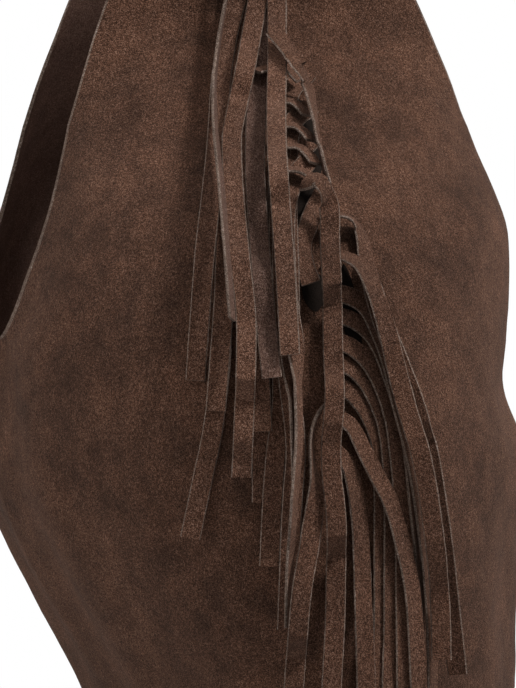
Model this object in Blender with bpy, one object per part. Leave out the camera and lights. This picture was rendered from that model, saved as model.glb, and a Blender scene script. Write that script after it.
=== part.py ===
"""Slouchy suede shoulder bag with a laced and fringed end seam.

Frame: +Z up, +X along the bag towards the fringed end, -Y is the front, and the origin is on the base's
underside, straight under the strap. All lengths are in metres unless a name says otherwise.
"""
import functools
import math
from collections import namedtuple

import bmesh
import bpy
import numpy as np
from mathutils import Vector, kdtree
from mathutils.bvhtree import BVHTree

MM = 0.001

# Material thickness and clearances
SUEDE = 0.0014
FIT = 0.0003
SEAM_GAP = 0.0006

# Body, from the base up: each level has a height, a length over the end seams, and how far the front and the
# back panel stand off the plane of the end seams. The bag sags to the back.
BASE_LENGTH = 0.236
BASE_FRONT = 0.042
BASE_BACK = 0.088
FLANK_HEIGHT = 0.025
FLANK_LENGTH = 0.270
FLANK_FRONT = 0.055
FLANK_BACK = 0.108
BELLY_HEIGHT = 0.115
BELLY_LENGTH = 0.294
BELLY_FRONT = 0.100
BELLY_BACK = 0.108
MOUTH_HEIGHT = 0.164
MOUTH_LEVEL_LENGTH = 0.278
MOUTH_LEVEL_FRONT = 0.104
MOUTH_LEVEL_BACK = 0.105
SHOULDER_HEIGHT = 0.206
SHOULDER_LENGTH = 0.242
SHOULDER_FRONT = 0.094
SHOULDER_BACK = 0.1025
SLOPE_HEIGHT = 0.252
SLOPE_LENGTH = 0.150
SLOPE_FRONT = 0.079
SLOPE_BACK = 0.084
NECK_HEIGHT = 0.300
NECK_LENGTH = 0.080
NECK_FRONT = 0.062
NECK_BACK = 0.065

# Arms above the neck, and the shoulder strap that joins them
ARM_SPREAD = 0.072
ARM_HEIGHT = 0.350
ARM_WIDTH = 0.076
ARM_TOP_HEIGHT = 0.390
ARM_TOP_WIDTH = 0.054

# Mouth between the arms
MOUTH_WIDTH = 0.078
MOUTH_ROUND = 0.060
MOUTH_NECK_WIDTH = 0.060
HIDE_SHOULDER_PINCH = 0.044
HIDE_SLOPE_PINCH = 0.070
SECTION_ROUND = 0.5523
FOLD_SPAN = 0.200

# Base and strap
BASE_THICKNESS = 0.0024
STRAP_WIDTH = 0.046
STRAP_THICKNESS = 0.003
STRAP_LAP = 0.032
STRAP_TOP_HEIGHT = 0.550
STRAP_BOW = 0.010

# Laces: flat suede strips
LACE_WIDTH = 0.008
LACE_THICKNESS = 0.0012
LACE_GAP = 0.0006
LACE_STEP = 0.011
PROBE_STEP = 0.002
PROBE_REACH = 0.0019
PROBE_HEIGHT = 0.02

# The laces are drawn on a plane that stands upright and faces this direction around the bag, in degrees.
# Their points are millimetres: across from the plane's zero line, which is beside the end seam, and down from
# the neck.
DRAWING_TURN = 75.0
DRAWING_ZERO = 0.0412

# Mesh density
SECTION_STEPS = 11
BODY_ROWS = 13
MOUTH_ROWS = 9
ARM_ROWS = 9
BASE_STEPS = 11
STRAP_STEPS = 28
CURVE_STEPS = 24
SEARCH_STEPS = 40
SHARP_ANGLE = 40.0

Level = namedtuple("Level", "height seam front back")
Fold = namedtuple("Fold", "side end height reach across spread lean rise")

LEVELS = (
    Level(0.0, BASE_LENGTH / 2, BASE_FRONT, BASE_BACK),
    Level(FLANK_HEIGHT, FLANK_LENGTH / 2, FLANK_FRONT, FLANK_BACK),
    Level(BELLY_HEIGHT, BELLY_LENGTH / 2, BELLY_FRONT, BELLY_BACK),
    Level(MOUTH_HEIGHT, MOUTH_LEVEL_LENGTH / 2, MOUTH_LEVEL_FRONT, MOUTH_LEVEL_BACK),
    Level(SHOULDER_HEIGHT, SHOULDER_LENGTH / 2, SHOULDER_FRONT, SHOULDER_BACK),
    Level(SLOPE_HEIGHT, SLOPE_LENGTH / 2, SLOPE_FRONT, SLOPE_BACK),
    Level(NECK_HEIGHT, NECK_LENGTH / 2, NECK_FRONT, NECK_BACK),
    Level(ARM_HEIGHT, ARM_SPREAD / 2, ARM_WIDTH / 2, ARM_WIDTH / 2),
    Level(ARM_TOP_HEIGHT, ARM_SPREAD / 2, ARM_TOP_WIDTH / 2, ARM_TOP_WIDTH / 2),
)

# Soft folds of the hide: side -1 is the front and 1 the back, end 1 is the fringed end. across runs from 0 at
# the end seam to 1 at a panel's middle, reach and spread are the half sizes, and rise is out of the hide.
FOLDS = (
    Fold(1, 1, 0.146, 0.016, 0.80, 0.30, 0.10, -0.0045),
    Fold(1, 1, 0.118, 0.018, 0.82, 0.28, 0.10, 0.0025),
    Fold(-1, 1, 0.155, 0.040, 0.95, 0.10, 0.00, -0.0040),
    Fold(-1, 1, 0.080, 0.055, 0.78, 0.07, 0.20, 0.0025),
    Fold(-1, 1, 0.070, 0.055, 0.92, 0.07, 0.20, -0.0030),
    Fold(-1, 1, 0.212, 0.030, 0.45, 0.16, 0.60, -0.0020),
    Fold(-1, -1, 0.140, 0.020, 0.70, 0.30, -0.15, -0.0035),
    Fold(-1, -1, 0.070, 0.055, 0.85, 0.08, 0.20, -0.0030),
    Fold(1, -1, 0.155, 0.018, 0.75, 0.30, 0.12, -0.0035),
    Fold(1, -1, 0.070, 0.050, 0.60, 0.10, 0.25, -0.0030),
    Fold(1, 1, 0.055, 0.050, 0.62, 0.09, -0.20, -0.0025),
)

# Colours of the suede: face of the panels, smoother strips, and the inside of base and strap
PANEL_COLOR = (0.065, 0.036, 0.026, 1.0)
LACE_COLOR = (0.075, 0.042, 0.030, 1.0)
BASE_COLOR = (0.050, 0.028, 0.020, 1.0)
SUEDE_ROUGHNESS = 0.95


# Each lace: name and drawn points, those laid first lie lowest
LACES = (
    ("fringe_upper_01", ((-31, -12), (-36, 10), (-42, 60), (-46, 110), (-50, 164), (-55, 190), (-60, 214))),
    ("fringe_upper_02", ((-29, -8), (-31, 14), (-33, 60), (-34, 110), (-33, 160), (-32, 176), (-32, 200))),
    ("fringe_upper_03", ((-14, 30), (-22, 40), (-25, 64), (-25, 120), (-24, 160), (-27, 184), (-29, 225))),
    ("fringe_upper_04", ((-12, 58), (-19, 68), (-20, 86), (-19, 140), (-18, 180), (-20, 200), (-22, 250))),
    ("fringe_short_01", ((-10, 82), (-15, 96), (-17, 112), (-15, 127))),
    ("fringe_upper_05", ((-32, -18), (-37, -2), (-43, 24), (-45, 60), (-47, 120), (-50, 164))),
    ("fringe_upper_06", ((-29, -24), (-32, 0), (-36, 24), (-37, 60), (-34, 120), (-32, 172))),
    ("fringe_upper_07", ((-13, 44), (-20, 52), (-22, 72), (-21, 130), (-20, 170), (-19, 206))),
    ("fringe_upper_08", ((-33, -28), (-41, -4), (-48, 30), (-50, 60), (-55, 110), (-58, 152))),
    ("fringe_upper_09", ((-27, -14), (-29, 4), (-32, 24), (-35, 60), (-32, 110), (-28, 151))),
    ("fringe_upper_10", ((-13, 66), (-17, 76), (-18, 96), (-17, 142), (-18, 172), (-20, 200), (-22, 249))),
    ("fringe_upper_11",
     ((-30, -36), (-33, -6), (-37, 20), (-42, 45), (-44, 62), (-41, 100), (-38, 135), (-40, 190))),
    ("fringe_upper_12", ((-27, -30), (-26, 0), (-26, 24), (-26, 60), (-23, 105), (-21, 142))),
    ("fringe_upper_13", ((-34, -40), (-44, -10), (-50, 24), (-51, 46), (-48, 80), (-44, 128))),
    ("braid_arc_01", ((-26, 18), (-20, 24), (-16, 34), (-14, 48), (-12, 64), (-10, 78))),
    ("braid_loop_01",
     ((-8, 85), (1, 86), (6, 92), (10, 104), (18, 130), (24, 160), (32, 190), (41, 218), (45, 268))),
    ("braid_loop_03",
     ((-6, 114), (2, 115), (8, 122), (13, 136), (18, 160), (22, 185), (28, 212), (33, 245), (34, 288))),
    ("braid_loop_05",
     ((-5, 137), (1, 138), (7, 146), (11, 160), (14, 180), (18, 212), (22, 245), (24, 291))),
    ("braid_loop_07", ((-5, 155), (0, 156), (5, 164), (8, 180), (11, 205), (13, 240), (14, 287))),
    ("braid_loop_02",
     ((-6, 103), (2, 104), (8, 110), (14, 124), (19, 144), (25, 176), (32, 204), (38, 230), (40, 262))),
    ("braid_loop_04",
     ((-5, 126), (1, 127), (8, 134), (12, 148), (16, 170), (20, 195), (24, 228), (28, 292))),
    ("braid_loop_06", ((-5, 146), (0, 147), (6, 155), (9, 170), (12, 192), (15, 228), (18, 284))),
    ("braid_loop_09", ((-3, 180), (2, 186), (5, 202), (7, 225), (9, 289))),
    ("braid_loop_08",
     ((-3, 166), (3, 170), (8, 180), (13, 190), (18, 200), (22, 214), (27, 240), (30, 286))),
    ("braid_tail_01", ((-6, 163), (-10, 172), (-12, 190), (-14, 214), (-17, 240), (-21, 290))),
    ("braid_front_01",
     ((-13, 77), (-8, 74), (-5, 80), (-5, 92), (-4, 116), (-3, 146), (-5, 172), (-5, 200), (-4, 288))),
)


def smooth_profile(stations, height):
    """Value at a height of a smooth curve through (height, value) stations that never swings past them."""
    heights = [station[0] for station in stations]
    values = [station[1] for station in stations]
    height = min(max(height, heights[0]), heights[-1])
    slopes = [(values[i + 1] - values[i]) / (heights[i + 1] - heights[i]) for i in range(len(values) - 1)]
    tangents = [slopes[0]]
    for before, after in zip(slopes, slopes[1:]):
        tangents.append(0.0 if before * after <= 0.0 else 2.0 * before * after / (before + after))
    tangents.append(slopes[-1])
    i = max(k for k in range(len(slopes)) if heights[k] <= height)
    span = heights[i + 1] - heights[i]
    s = (height - heights[i]) / span
    start = (2 * s ** 3 - 3 * s ** 2 + 1) * values[i] + (s ** 3 - 2 * s ** 2 + s) * span * tangents[i]
    end = (3 * s ** 2 - 2 * s ** 3) * values[i + 1] + (s ** 3 - s ** 2) * span * tangents[i + 1]
    return start + end


SEAM_PROFILE = [(level.height, level.seam) for level in LEVELS]
SIDE_PROFILES = {
    -1: [(level.height, level.front) for level in LEVELS],
    1: [(level.height, level.back) for level in LEVELS],
}
MOUTH_PROFILE = [
    (MOUTH_HEIGHT, MOUTH_WIDTH / 2),
    (SHOULDER_HEIGHT, MOUTH_WIDTH / 2),
    (NECK_HEIGHT, MOUTH_NECK_WIDTH / 2),
    (ARM_HEIGHT, ARM_SPREAD / 2),
    (ARM_TOP_HEIGHT, ARM_SPREAD / 2),
]
PINCH_PROFILE = [
    (0.0, 0.0),
    (MOUTH_HEIGHT, 0.0),
    (SHOULDER_HEIGHT, HIDE_SHOULDER_PINCH / 2),
    (SLOPE_HEIGHT, HIDE_SLOPE_PINCH / 2),
    (NECK_HEIGHT, MOUTH_NECK_WIDTH / 2),
    (ARM_HEIGHT, ARM_SPREAD / 2),
    (ARM_TOP_HEIGHT, ARM_SPREAD / 2),
]
CURL_PROFILE = [
    (0.0, 1.0),
    (MOUTH_HEIGHT, 1.0),
    (SLOPE_HEIGHT, 0.72),
    (NECK_HEIGHT, 0.5),
    (ARM_HEIGHT, 0.0),
    (ARM_TOP_HEIGHT, 0.0),
]


def mouth_edge(height):
    """Distance from the bag's middle plane to the mouth's raw edge, 0 below the mouth."""
    if height <= MOUTH_HEIGHT:
        return 0.0
    rise = min((height - MOUTH_HEIGHT) / MOUTH_ROUND, 1.0)
    return smooth_profile(MOUTH_PROFILE, height) * math.sqrt(1.0 - (1.0 - rise) ** 2)


def fold_depth(side, end, across, height):
    """How far the soft folds push the hide out at a place."""
    depth = 0.0
    for fold in FOLDS:
        if fold.side != side or fold.end != end:
            continue
        middle = fold.height + fold.lean * (across - fold.across) * FOLD_SPAN
        near = ((height - middle) / fold.reach) ** 2 + ((across - fold.across) / fold.spread) ** 2
        depth += fold.rise * math.exp(-near)
    return depth


def curve_point(handles, s):
    """Point of a cubic curve."""
    weights = ((1 - s) ** 3, 3 * s * (1 - s) ** 2, 3 * s * s * (1 - s), s ** 3)
    return sum((handle * weight for handle, weight in zip(handles, weights)), Vector((0.0, 0.0)))


@functools.lru_cache(maxsize=None)
def outline(side, level):
    """A quarter of the hide's outline at a level: its curve from the end seam, and the hide's reach."""
    seam = smooth_profile(SEAM_PROFILE, level)
    depth = smooth_profile(SIDE_PROFILES[side], level)
    pinch = smooth_profile(PINCH_PROFILE, level)
    curl = smooth_profile(CURL_PROFILE, level)
    handles = (
        Vector((seam, 0.0)),
        Vector((seam, depth * SECTION_ROUND)),
        Vector((pinch + (seam - pinch) * SECTION_ROUND, depth * (1.0 - SECTION_ROUND * (1.0 - curl)))),
        Vector((pinch, depth)),
    )
    edge = mouth_edge(level)
    low, high = 0.0, 1.0
    for _ in range(SEARCH_STEPS):
        middle = (low + high) / 2
        if curve_point(handles, middle).x > edge:
            low = middle
        else:
            high = middle
    reach = 1.0 if edge <= pinch + FIT else middle
    return handles, reach


def hide_point(side, end, across, height, shape_height=None):
    """Point of the outer face and its outward direction in plan.

    across runs from 0 at the end seam to 1 at the mouth's edge, or at the panel's middle below the mouth.
    shape_height is the level whose outline is used, where that isn't the point's own.
    """
    level = height if shape_height is None else shape_height
    handles, reach = outline(side, level)
    s = across * reach
    turns = (3 * (1 - s) ** 2, 6 * s * (1 - s), 3 * s * s)
    run = sum(((handles[k + 1] - handles[k]) * turns[k] for k in range(3)), Vector((0.0, 0.0)))
    out = Vector((run.y, -run.x)).normalized()
    flat = curve_point(handles, s) + out * fold_depth(side, end, across, level)
    return Vector((flat.x * end, flat.y * side, height)), Vector((out.x * end, out.y * side, 0.0))


def suede(name, color):
    """Plain suede material."""
    material = bpy.data.materials.new(name)
    material.use_nodes = True
    shader = material.node_tree.nodes["Principled BSDF"]
    shader.inputs["Base Color"].default_value = color
    shader.inputs["Roughness"].default_value = SUEDE_ROUGHNESS
    shader.inputs["Metallic"].default_value = 0.0
    material.diffuse_color = color
    return material


def add_object(name, vertices, faces, material):
    """Add a mesh object with smooth shading and sharp corners."""
    mesh = bpy.data.meshes.new(name)
    mesh.from_pydata([tuple(vertex) for vertex in vertices], [], faces)
    mesh.shade_smooth()
    mesh.set_sharp_from_angle(angle=math.radians(SHARP_ANGLE))
    mesh.materials.append(material)
    result = bpy.data.objects.new(name, mesh)
    bpy.context.collection.objects.link(result)
    return result


def add_thickness(target, thickness):
    """Give a hide sheet its thickness towards the inside."""
    solidify = target.modifiers.new("thickness", "SOLIDIFY")
    solidify.thickness = thickness
    solidify.offset = -1.0
    solidify.use_even_offset = True
    solidify.use_rim = True


def panel(name, side, material):
    """One hide panel: its body from seam to seam, and an arm at each end beside the mouth."""
    body_heights = [MOUTH_HEIGHT * row / BODY_ROWS for row in range(BODY_ROWS + 1)]
    body_heights[0] = FIT
    mouth_heights = [MOUTH_HEIGHT + MOUTH_ROUND * (row / MOUTH_ROWS) ** 2 for row in range(1, MOUTH_ROWS + 1)]
    last = mouth_heights[-1]
    arm_heights = [last + (ARM_TOP_HEIGHT - last) * row / ARM_ROWS for row in range(1, ARM_ROWS + 1)]
    offset = Vector((0.0, side * SEAM_GAP / 2, 0.0))
    vertices = []
    faces = []

    def add_row(end, height, steps):
        start = len(vertices)
        for step in steps:
            place, _ = hide_point(side, end, step / SECTION_STEPS, height)
            vertices.append(place + offset)
        return list(range(start, len(vertices)))

    def join_rows(lower, upper, outward):
        for a, b, c, d in zip(lower, lower[1:], upper[1:], upper):
            faces.append((a, b, c, d) if outward else (d, c, b, a))

    near_steps = range(SECTION_STEPS + 1)
    far_steps = range(SECTION_STEPS - 1, -1, -1)
    rows = [add_row(1, height, near_steps) + add_row(-1, height, far_steps) for height in body_heights]
    outward = side > 0
    for lower, upper in zip(rows, rows[1:]):
        join_rows(lower, upper, outward)
    top = rows[-1]
    arms = {1: top[:SECTION_STEPS + 1], -1: top[SECTION_STEPS:]}
    for end, lower in arms.items():
        steps = near_steps if end > 0 else range(SECTION_STEPS, -1, -1)
        for height in mouth_heights + arm_heights:
            upper = add_row(end, height, steps)
            join_rows(lower, upper, outward)
            lower = upper
    result = add_object(name, vertices, faces, material)
    add_thickness(result, SUEDE)
    return result


def base_outline():
    """Outline of the base: the panels' lowest inner line, less the fit."""
    inset = SUEDE + FIT * 2
    halves = []
    for side in (1, -1):
        half = []
        for step in range(BASE_STEPS + 1):
            place, out = hide_point(side, 1, step / BASE_STEPS, 0.0)
            half.append((place.x - out.x * inset, place.y - out.y * inset))
        half += [(-x, y) for x, y in reversed(half[:-1])]
        halves.append(half)
    back, front = halves
    return back + front[-2:0:-1]


def base(material):
    """Oval bottom that stands on the surface."""
    rim = base_outline()
    count = len(rim)
    vertices = [(x, y, height) for height in (0.0, BASE_THICKNESS) for x, y in rim]
    faces = [tuple(reversed(range(count))), tuple(range(count, 2 * count))]
    faces += [(i, (i + 1) % count, count + (i + 1) % count, count + i) for i in range(count)]
    return add_object("base_panel", vertices, faces, material)


def strap_path():
    """Middle line of the strap, from the inside of the near arm over the top to the far arm."""
    foot = ARM_SPREAD / 2 - SUEDE - FIT - STRAP_THICKNESS / 2
    top = STRAP_TOP_HEIGHT - STRAP_THICKNESS / 2
    arch = top - ARM_TOP_HEIGHT
    points = [Vector((foot, 0.0, ARM_TOP_HEIGHT - STRAP_LAP))]
    for step in range(STRAP_STEPS + 1):
        turn = math.pi * step / STRAP_STEPS
        bow = STRAP_BOW * math.sin(turn) ** 2 * math.cos(turn)
        reach = foot * math.copysign(abs(math.cos(turn)) ** 0.5, math.cos(turn))
        points.append(Vector((reach + bow, 0.0, ARM_TOP_HEIGHT + arch * math.sin(turn))))
    points.append(Vector((-foot, 0.0, ARM_TOP_HEIGHT - STRAP_LAP)))
    return points


def strap(material):
    """Double band that joins the arms."""
    path = strap_path()
    vertices = []
    for i, place in enumerate(path):
        before = path[max(i - 1, 0)]
        after = path[min(i + 1, len(path) - 1)]
        run = (after - before).normalized()
        out = Vector((run.z, 0.0, -run.x)) * STRAP_THICKNESS / 2
        wide = Vector((0.0, STRAP_WIDTH / 2, 0.0))
        vertices += [place + out - wide, place + out + wide, place - out + wide, place - out - wide]
    return add_object("shoulder_strap", vertices, tube_faces(len(path)), material)


def tube_faces(count):
    """Faces of a swept rectangle whose four corners follow each other at each of count stations."""
    faces = [(3, 2, 1, 0)]
    for station in range(count - 1):
        for corner in range(4):
            following = (corner + 1) % 4
            low = station * 4
            faces.append((low + corner, low + following, low + 4 + following, low + 4 + corner))
    last = (count - 1) * 4
    faces.append((last, last + 1, last + 2, last + 3))
    return faces


def drawn_curve(points, spacing):
    """Points at even spacing along a smooth curve through a lace's drawn points."""
    knots = [Vector(point) * MM for point in points]
    padded = [knots[0] * 2 - knots[1]] + knots + [knots[-1] * 2 - knots[-2]]
    fine = []
    for i in range(1, len(padded) - 2):
        p0, p1, p2, p3 = padded[i - 1:i + 3]
        for k in range(CURVE_STEPS):
            s = k / CURVE_STEPS
            fine.append(0.5 * (2 * p1 + (p2 - p0) * s + (2 * p0 - 5 * p1 + 4 * p2 - p3) * s ** 2
                               + (3 * p1 - p0 - 3 * p2 + p3) * s ** 3))
    fine.append(knots[-1])
    lengths = [0.0]
    for a, b in zip(fine, fine[1:]):
        lengths.append(lengths[-1] + (b - a).length)
    count = max(3, round(lengths[-1] / spacing))
    marks = np.linspace(0.0, lengths[-1], count + 1)
    across = np.interp(marks, lengths, [point.x for point in fine])
    down = np.interp(marks, lengths, [point.y for point in fine])
    return list(zip(across, down))


def on_bag(across, down, lift):
    """Point of the hanging surface that shows at a drawn place, and its outward direction.

    The laces hang straight down from the belly, where the hide itself turns in to the base.
    """
    height = NECK_HEIGHT - down
    shape = max(height, BELLY_HEIGHT)
    turn = math.radians(DRAWING_TURN)
    view = Vector((math.cos(turn), math.sin(turn), 0.0))
    wanted = DRAWING_ZERO + across
    low, high = -1.0, 1.0
    for _ in range(SEARCH_STEPS):
        middle = (low + high) / 2
        side = 1 if middle >= 0 else -1
        place, out = hide_point(side, 1, abs(middle), height, shape)
        if (place + out * lift).dot(view) < wanted:
            low = middle
        else:
            high = middle
    above, _ = hide_point(side, 1, abs(middle), height + MM, max(height + MM, BELLY_HEIGHT))
    climb = above - place
    out = Vector((-out.y, out.x, 0.0)).cross(climb).normalized()
    return place, out if out.dot(place) > 0 else -out


def lace_line(points, spacing, lifts=None):
    """Places, outward and width directions along a lace."""
    drawn = drawn_curve(points, spacing)
    if lifts is None:
        lifts = [0.0] * len(drawn)
    seats = [on_bag(across, down, lift) for (across, down), lift in zip(drawn, lifts)]
    line = []
    for i, (place, out) in enumerate(seats):
        run = seats[min(i + 1, len(seats) - 1)][0] - seats[max(i - 1, 0)][0]
        wide = run.cross(out).normalized()
        line.append((place, out, wide))
    return line


def spread_highest(values, reach):
    """Each value raised to the highest within reach, then evened out without falling below what is needed."""
    count = len(values)
    highest = [max(values[max(i - reach, 0):i + reach + 1]) for i in range(count)]
    half = reach // 2
    return [sum(highest[max(i - half, 0):i + half + 1]) / len(highest[max(i - half, 0):i + half + 1])
            for i in range(count)]


def hide_tree(panels):
    """Search tree of the panels' outer faces."""
    vertices = []
    faces = []
    for sheet in panels:
        start = len(vertices)
        vertices += [vertex.co for vertex in sheet.data.vertices]
        faces += [[start + index for index in face.vertices] for face in sheet.data.polygons]
    return BVHTree.FromPolygons(vertices, faces)


def hide_rise(hide, place, out):
    """How far the panels' faces stand out over a place of the smooth surface."""
    hit, _, _, distance = hide.ray_cast(place + out * PROBE_HEIGHT, -out, PROBE_HEIGHT * 2)
    return 0.0 if hit is None else max(PROBE_HEIGHT - distance, 0.0)


def lay_lace(points, laid, hide):
    """Corners of a lace that rests on the hide and on the laces in laid, and the probes of its own top."""
    probes = lace_line(points, PROBE_STEP)
    tree = kdtree.KDTree(max(len(laid), 1))
    for index, (place, _) in enumerate(laid):
        tree.insert(place, index)
    tree.balance()
    shares = (-1.0, -0.5, 0.0, 0.5, 1.0)
    tops = []
    for place, out, wide in probes:
        top = 0.0
        for share in shares:
            spot = place + wide * LACE_WIDTH / 2 * share
            found = tree.find_range(spot, PROBE_REACH) if laid else []
            top = max([top, hide_rise(hide, spot, out)] + [laid[index][1] for _, index, _ in found])
        tops.append(top)
    lifts = [top + LACE_GAP for top in spread_highest(tops, math.ceil(LACE_STEP / PROBE_STEP) + 1)]
    own = [(place + wide * LACE_WIDTH / 2 * share, lift + LACE_THICKNESS)
           for (place, _, wide), lift in zip(probes, lifts) for share in shares]
    count = max(3, round((len(probes) - 1) * PROBE_STEP / LACE_STEP))
    marks = np.linspace(0, len(probes) - 1, count + 1)
    coarse = np.interp(marks, range(len(lifts)), lifts)
    line = lace_line(points, (len(probes) - 1) * PROBE_STEP / count, coarse)
    corners = []
    for (place, out, wide), lift in zip(line, coarse):
        under = place + out * lift
        over = under + out * LACE_THICKNESS
        half = wide * LACE_WIDTH / 2
        corners += [over - half, over + half, under + half, under - half]
    return corners, own


def laces(material, panels):
    """All laces, each resting on the panels and on the laces before it."""
    hide = hide_tree(panels)
    laid = []
    for name, points in LACES:
        corners, own = lay_lace(points, laid, hide)
        laid += own
        add_object(name, corners, tube_faces(len(corners) // 4), material)


def turn_faces_out():
    """Make every object's faces point out of its solid."""
    for target in bpy.data.objects:
        if target.modifiers:
            continue
        sheet = bmesh.new()
        sheet.from_mesh(target.data)
        bmesh.ops.recalc_face_normals(sheet, faces=sheet.faces)
        sheet.to_mesh(target.data)
        sheet.free()


def main():
    """Build the bag."""
    for old in list(bpy.data.objects):
        bpy.data.objects.remove(old, do_unlink=True)
    panel_suede = suede("panel_suede", PANEL_COLOR)
    lace_suede = suede("lace_suede", LACE_COLOR)
    base_suede = suede("base_suede", BASE_COLOR)
    panels = [panel("front_panel", -1, panel_suede), panel("back_panel", 1, panel_suede)]
    base(base_suede)
    strap(panel_suede)
    laces(lace_suede, panels)
    turn_faces_out()


main()
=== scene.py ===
"""Looks of the fringed suede bag: the hide, the laced end seam with its fringe, the strap and the studio."""
import functools
import logging
import math
from dataclasses import dataclass, field
from enum import Enum

import bpy
import numpy as np
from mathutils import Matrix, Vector, kdtree, noise
from mathutils.bvhtree import BVHTree


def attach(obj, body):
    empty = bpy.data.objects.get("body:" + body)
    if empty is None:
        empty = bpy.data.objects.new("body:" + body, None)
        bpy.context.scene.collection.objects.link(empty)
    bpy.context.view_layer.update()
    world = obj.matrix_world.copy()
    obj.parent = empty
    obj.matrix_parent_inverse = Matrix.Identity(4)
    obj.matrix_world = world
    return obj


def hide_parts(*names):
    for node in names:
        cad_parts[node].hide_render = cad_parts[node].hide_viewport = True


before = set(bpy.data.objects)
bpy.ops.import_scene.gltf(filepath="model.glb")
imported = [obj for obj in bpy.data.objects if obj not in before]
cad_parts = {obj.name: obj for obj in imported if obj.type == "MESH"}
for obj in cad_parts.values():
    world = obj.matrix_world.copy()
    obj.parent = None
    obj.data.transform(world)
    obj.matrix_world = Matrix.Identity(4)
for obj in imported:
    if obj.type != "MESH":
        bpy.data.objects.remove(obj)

logging.basicConfig(level=logging.INFO, format="%(message)s")
log = logging.getLogger("bag")

MM = 0.001
SHARP_ANGLE = math.radians(50)
OUTER, INNER, EDGE = 0, 1, 2
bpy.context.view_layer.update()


class Side(Enum):
    """Which panel of the bag."""

    FRONT = -1
    BACK = 1


class End(Enum):
    """Which end of the bag."""

    FRINGED = 1
    PLAIN = -1


class Show(Enum):
    """Which face of a lace looks outward."""

    NAP = "nap"
    FLESH = "flesh"


# Shader graph


class Socket:
    """A shader value that can be used in plain arithmetic."""

    def __init__(self, graph: "Graph", link: bpy.types.NodeSocket) -> None:
        """Keep the graph and the output socket that holds the value."""
        self.graph = graph
        self.link = link

    def _math(self, operation: str, first: object, second: object) -> "Socket":
        """One Math node of an operation and its two values."""
        return self.graph.node("ShaderNodeMath", {"operation": operation}, {0: first, 1: second})

    def __add__(self, other: object) -> "Socket":
        """Sum."""
        return self._math("ADD", self, other)

    def __radd__(self, other: object) -> "Socket":
        """Sum with the number first."""
        return self._math("ADD", other, self)

    def __sub__(self, other: object) -> "Socket":
        """Difference."""
        return self._math("SUBTRACT", self, other)

    def __rsub__(self, other: object) -> "Socket":
        """Difference with the number first."""
        return self._math("SUBTRACT", other, self)

    def __mul__(self, other: object) -> "Socket":
        """Product."""
        return self._math("MULTIPLY", self, other)

    def __rmul__(self, other: object) -> "Socket":
        """Product with the number first."""
        return self._math("MULTIPLY", other, self)


@dataclass(frozen=True)
class Layer:
    """One size of unevenness: bumps per metre, finer octaves, their strength, and the range kept about 0.5."""

    scale: float
    detail: float
    roughness: float
    spread: float


class Graph:
    """The nodes of one material."""

    def __init__(self, name: str, library: object = None) -> None:
        """Start an empty material or world.

        Args:
            name: its name.
            library: what to make it in, where that isn't the materials.
        """
        self.material = (bpy.data.materials if library is None else library).new(name)
        self.material.use_nodes = True
        self.tree = self.material.node_tree
        self.tree.nodes.clear()

    def node(self, kind: str, settings: dict, inputs: dict, output: object = 0) -> Socket | None:
        """Add a node.

        Args:
            kind: the node's type.
            settings: attributes, set first; ramp holds a ramp's (place, colour) stops.
            inputs: socket name or number to a value or a Socket.
            output: name or number of the output to return, or None.

        Returns:
            The chosen output, if any.
        """
        made = self.tree.nodes.new(kind)
        for key, value in settings.items():
            if key == "ramp":
                self._set_ramp(made.color_ramp, value)
            else:
                setattr(made, key, value)
        for key, value in inputs.items():
            if isinstance(value, Socket):
                self.tree.links.new(value.link, made.inputs[key])
            else:
                made.inputs[key].default_value = value
        return None if output is None else Socket(self, made.outputs[output])

    @staticmethod
    def _set_ramp(ramp: bpy.types.ColorRamp, stops: list) -> None:
        """Write the stops of a colour ramp.

        Args:
            ramp: the ramp.
            stops: (place, colour) pairs, in order.
        """
        while len(ramp.elements) < len(stops):
            ramp.elements.new(1.0)
        for element, (place, color) in zip(ramp.elements, stops):
            element.position = place
            element.color = color

    def surface(self, shader: Socket, kind: str = "ShaderNodeOutputMaterial") -> None:
        """Use a shader as the surface, with an output node of a kind."""
        self.node(kind, {}, {"Surface": shader}, None)

    def mix(self, factor: object, first: object, second: object, blend: str = "MIX") -> Socket:
        """Mix two colours by the share of the second, in a blend mode."""
        settings = {"data_type": "RGBA", "blend_type": blend, "clamp_factor": True}
        return self.node("ShaderNodeMix", settings, {0: factor, 6: first, 7: second}, 2)

    def grain(self, layer: Layer) -> Socket:
        """Noise in the bag's own space.

        Args:
            layer: its size and range.

        Returns:
            The value, from 0 to 1.
        """
        place = self.node("ShaderNodeTexCoord", {}, {}, "Object")
        values = {"Vector": place, "Scale": layer.scale, "Detail": layer.detail, "Roughness": layer.roughness}
        value = self.node("ShaderNodeTexNoise", {}, values, "Fac")
        return self.node("ShaderNodeMapRange", {"clamp": True}, {
            "Value": value, "From Min": 0.5 - layer.spread, "From Max": 0.5 + layer.spread,
            "To Min": 0.0, "To Max": 1.0,
        })


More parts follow.
